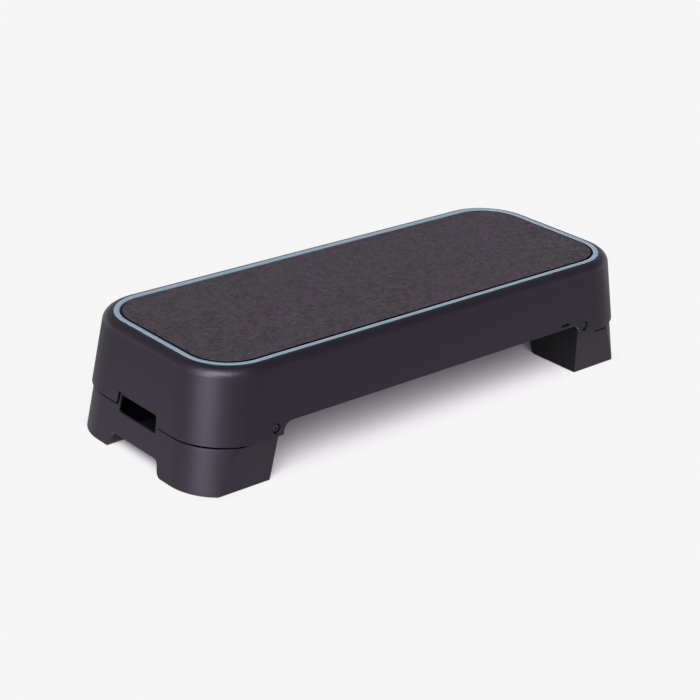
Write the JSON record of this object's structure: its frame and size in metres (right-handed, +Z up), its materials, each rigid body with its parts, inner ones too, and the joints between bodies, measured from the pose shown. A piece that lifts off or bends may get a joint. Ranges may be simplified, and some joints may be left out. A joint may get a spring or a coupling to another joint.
{
  "type": "aerobic step platform",
  "caption": "Low oblong step with a round-cornered moulded deck, a grip mat in a coloured ring and hollow end legs that fold under it for a lower height.",
  "frame": {"origin": "on the floor under the middle of the deck, with the legs unfolded", "axes": "+X along the length towards the right leg, +Y across the width towards the rear, +Z up"},
  "size_m": [0.7138, 0.28, 0.15],
  "materials": {
    "charcoal_plastic": "finely textured moulded charcoal plastic",
    "mat_rubber": "grey rubber with a fine woven texture",
    "blue_plastic": "satin light blue plastic",
    "screw_steel": "blackened steel screw head",
    "washer_steel": "zinc-plated steel",
    "bush_plastic": "smooth pale acetal",
    "pad_rubber": "ribbed black rubber"
  },
  "bodies": {
    "deck": {"deck_shell": "charcoal_plastic", "grip_mat": "mat_rubber", "accent_ring": "blue_plastic", "right_front_pivot_screw": "screw_steel", "right_front_pivot_bush": "bush_plastic", "right_front_pivot_washer": "washer_steel", "right_front_pivot_nut": "washer_steel", "right_rear_pivot_screw": "screw_steel", "right_rear_pivot_bush": "bush_plastic", "right_rear_pivot_washer": "washer_steel", "right_rear_pivot_nut": "washer_steel", "left_front_pivot_screw": "screw_steel", "left_front_pivot_bush": "bush_plastic", "left_front_pivot_washer": "washer_steel", "left_front_pivot_nut": "washer_steel", "left_rear_pivot_screw": "screw_steel", "left_rear_pivot_bush": "bush_plastic", "left_rear_pivot_washer": "washer_steel", "left_rear_pivot_nut": "washer_steel"},
    "right_leg": {"right_leg": "charcoal_plastic", "right_front_foot_pad": "pad_rubber", "right_rear_foot_pad": "pad_rubber"},
    "left_leg": {"left_leg": "charcoal_plastic", "left_front_foot_pad": "pad_rubber", "left_rear_foot_pad": "pad_rubber"}
  },
  "joints": [
    {"name": "right_leg_fold", "type": "hinge", "parent": "deck", "child": "right_leg", "pos_m": [0.2565, 0, 0.07], "axis": [0, 1, 0], "range_deg": [0, 180]},
    {"name": "left_leg_fold", "type": "hinge", "parent": "deck", "child": "left_leg", "pos_m": [-0.2565, 0, 0.07], "axis": [0, -1, 0], "range_deg": [0, 180]}
  ]
}
